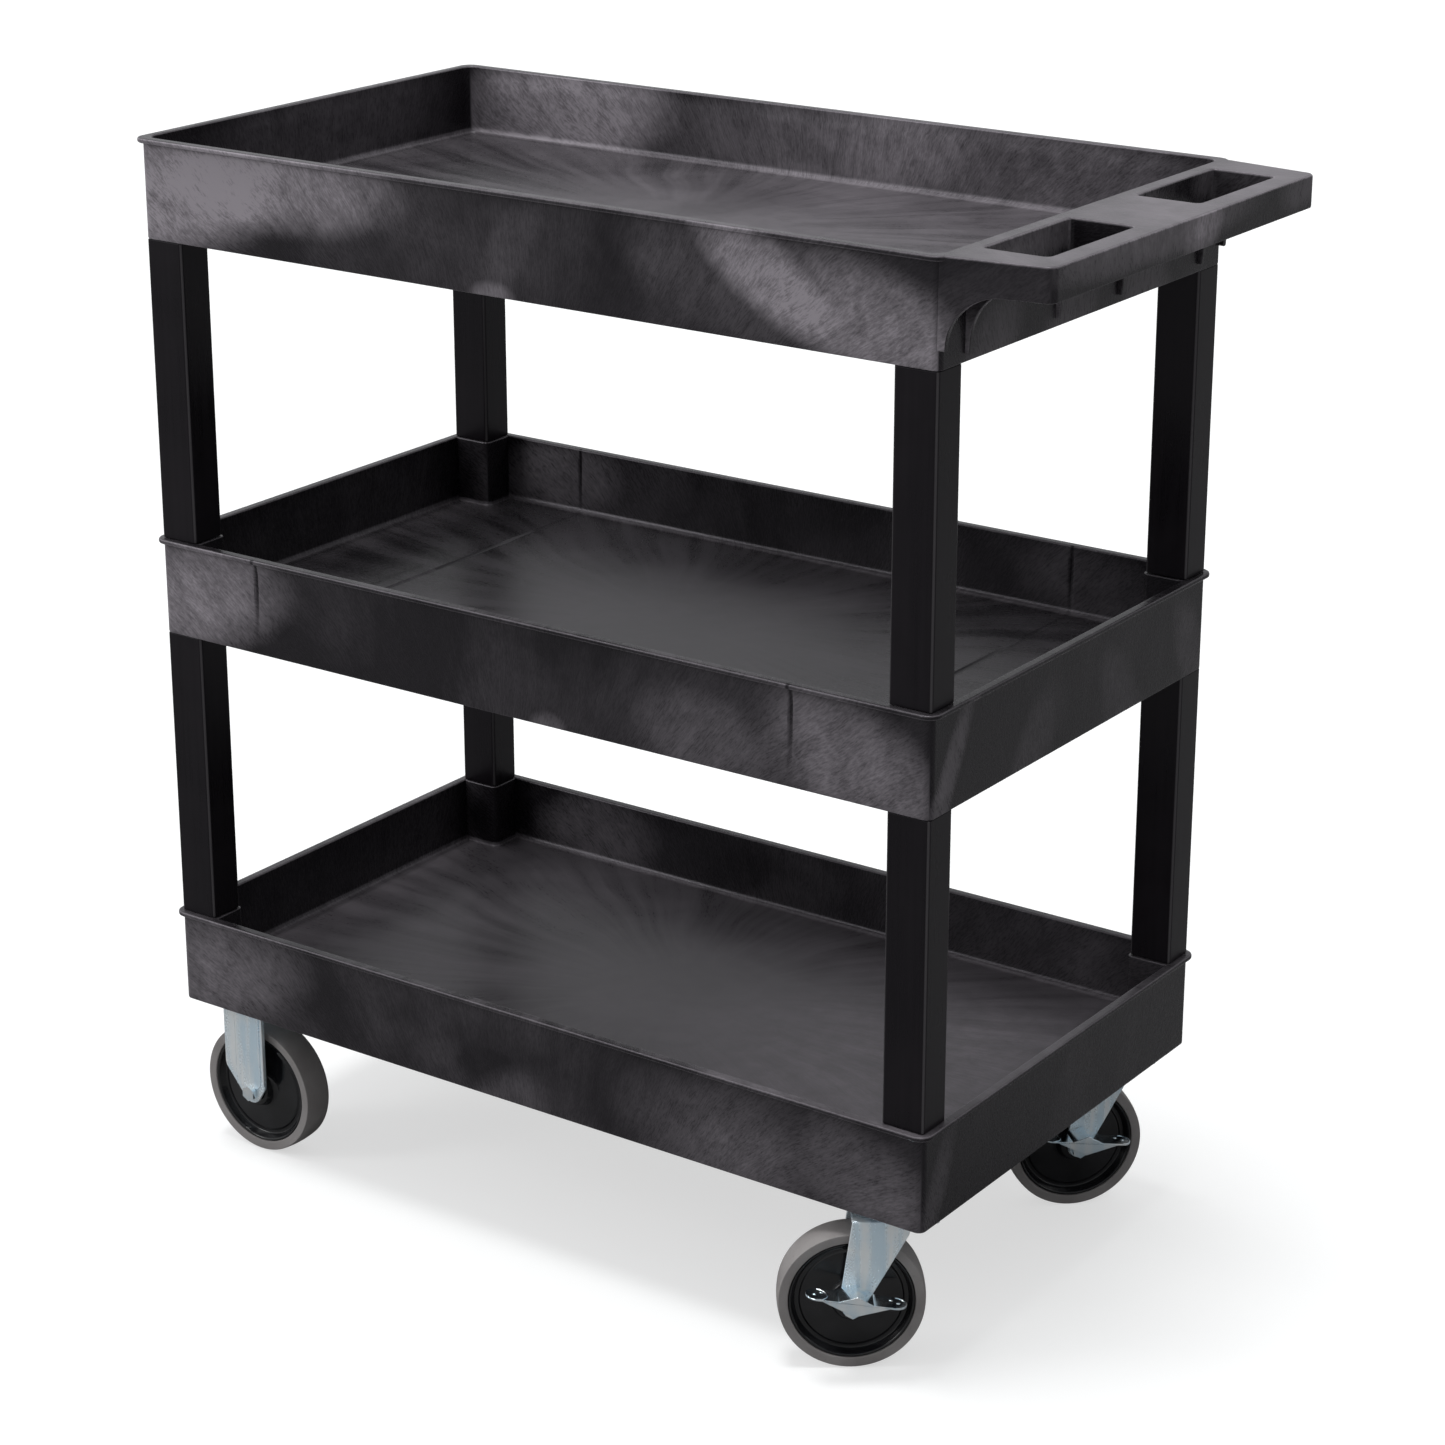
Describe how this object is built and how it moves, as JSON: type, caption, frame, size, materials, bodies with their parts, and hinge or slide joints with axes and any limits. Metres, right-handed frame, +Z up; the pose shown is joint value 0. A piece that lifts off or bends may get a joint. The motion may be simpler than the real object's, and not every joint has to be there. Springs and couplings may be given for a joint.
{
  "type": "rolling utility cart",
  "caption": "Rolling utility cart with moulded tub shelves on corner legs, a push handle with hand holes on the top tub, fixed casters at one end and braked swivel casters at the other.",
  "frame": {"origin": "middle of the cart's box on the ground, under the wheels", "axes": "+X towards the push handle, +Y away from the viewer across the cart, +Z up"},
  "size_m": [0.905, 0.4942, 0.958],
  "materials": {
    "tub": "charcoal structural-foam polyethylene, semi-gloss with swirled flow marks",
    "leg": "smooth satin black moulded polyethylene",
    "zinc": "bright zinc-plated pressed steel, bluish",
    "bearing_steel": "oiled steel",
    "hub": "glossy black polypropylene",
    "tyre": "grey thermoplastic rubber, matt"
  },
  "bodies": {
    "cart": {"top_tub": "tub", "middle_tub": "tub", "bottom_tub": "tub", "upper_leg_front_left": "leg", "upper_leg_rear_left": "leg", "upper_leg_front_right": "leg", "upper_leg_rear_right": "leg", "lower_leg_front_left": "leg", "lower_leg_rear_left": "leg", "lower_leg_front_right": "leg", "lower_leg_rear_right": "leg", "caster_screw_front_left_1": "zinc", "caster_screw_front_left_2": "zinc", "caster_screw_front_left_3": "zinc", "caster_screw_front_left_4": "zinc", "caster_screw_rear_left_1": "zinc", "caster_screw_rear_left_2": "zinc", "caster_screw_rear_left_3": "zinc", "caster_screw_rear_left_4": "zinc", "caster_screw_front_right_1": "zinc", "caster_screw_front_right_2": "zinc", "caster_screw_front_right_3": "zinc", "caster_screw_front_right_4": "zinc", "caster_screw_rear_right_1": "zinc", "caster_screw_rear_right_2": "zinc", "caster_screw_rear_right_3": "zinc", "caster_screw_rear_right_4": "zinc", "fork_front_left": "zinc", "axle_sleeve_front_left": "bearing_steel", "axle_bolt_front_left": "zinc", "axle_nut_front_left": "zinc", "fork_rear_left": "zinc", "axle_sleeve_rear_left": "bearing_steel", "axle_bolt_rear_left": "zinc", "axle_nut_rear_left": "zinc", "swivel_plate_front_right": "zinc", "kingpin_front_right": "zinc", "ball_ring_front_right": "bearing_steel", "swivel_plate_rear_right": "zinc", "kingpin_rear_right": "zinc", "ball_ring_rear_right": "bearing_steel"},
    "wheel_front_left": {"hub_front_left": "hub", "tyre_front_left": "tyre"},
    "wheel_rear_left": {"hub_rear_left": "hub", "tyre_rear_left": "tyre"},
    "swivel_front_right": {"fork_front_right": "zinc", "axle_sleeve_front_right": "bearing_steel", "axle_bolt_front_right": "zinc", "axle_nut_front_right": "zinc"},
    "wheel_front_right": {"hub_front_right": "hub", "tyre_front_right": "tyre"},
    "pedal_front_right": {"brake_pedal_front_right": "zinc"},
    "swivel_rear_right": {"fork_rear_right": "zinc", "axle_sleeve_rear_right": "bearing_steel", "axle_bolt_rear_right": "zinc", "axle_nut_rear_right": "zinc"},
    "wheel_rear_right": {"hub_rear_right": "hub", "tyre_rear_right": "tyre"},
    "pedal_rear_right": {"brake_pedal_rear_right": "zinc"}
  },
  "joints": [
    {"name": "front_left_wheel_spin", "type": "hinge", "parent": "cart", "child": "wheel_front_left", "pos_m": [-0.3825, -0.16995, 0.0625], "axis": [0, 1, 0], "continuous": true},
    {"name": "rear_left_wheel_spin", "type": "hinge", "parent": "cart", "child": "wheel_rear_left", "pos_m": [-0.3825, 0.20405, 0.0625], "axis": [0, 1, 0], "continuous": true},
    {"name": "front_right_swivel", "type": "hinge", "parent": "cart", "child": "swivel_front_right", "pos_m": [0.3185, -0.16495, 0.14], "axis": [0, 0, 1], "continuous": true},
    {"name": "front_right_wheel_spin", "type": "hinge", "parent": "swivel_front_right", "child": "wheel_front_right", "pos_m": [0.28469, -0.18987, 0.0625], "axis": [-0.5934, 0.8049, 0], "continuous": true},
    {"name": "front_right_brake_pedal", "type": "hinge", "parent": "swivel_front_right", "child": "pedal_front_right", "pos_m": [0.28469, -0.18987, 0.0625], "axis": [-0.5934, 0.8049, 0], "range_deg": [-16, 0]},
    {"name": "rear_right_swivel", "type": "hinge", "parent": "cart", "child": "swivel_rear_right", "pos_m": [0.3185, 0.19906, 0.14], "axis": [0, 0, 1], "continuous": true},
    {"name": "rear_right_wheel_spin", "type": "hinge", "parent": "swivel_rear_right", "child": "wheel_rear_right", "pos_m": [0.28975, 0.16844, 0.0625], "axis": [-0.729, 0.6845, 0], "continuous": true},
    {"name": "rear_right_brake_pedal", "type": "hinge", "parent": "swivel_rear_right", "child": "pedal_rear_right", "pos_m": [0.28975, 0.16844, 0.0625], "axis": [-0.729, 0.6845, 0], "range_deg": [-16, 0]}
  ]
}
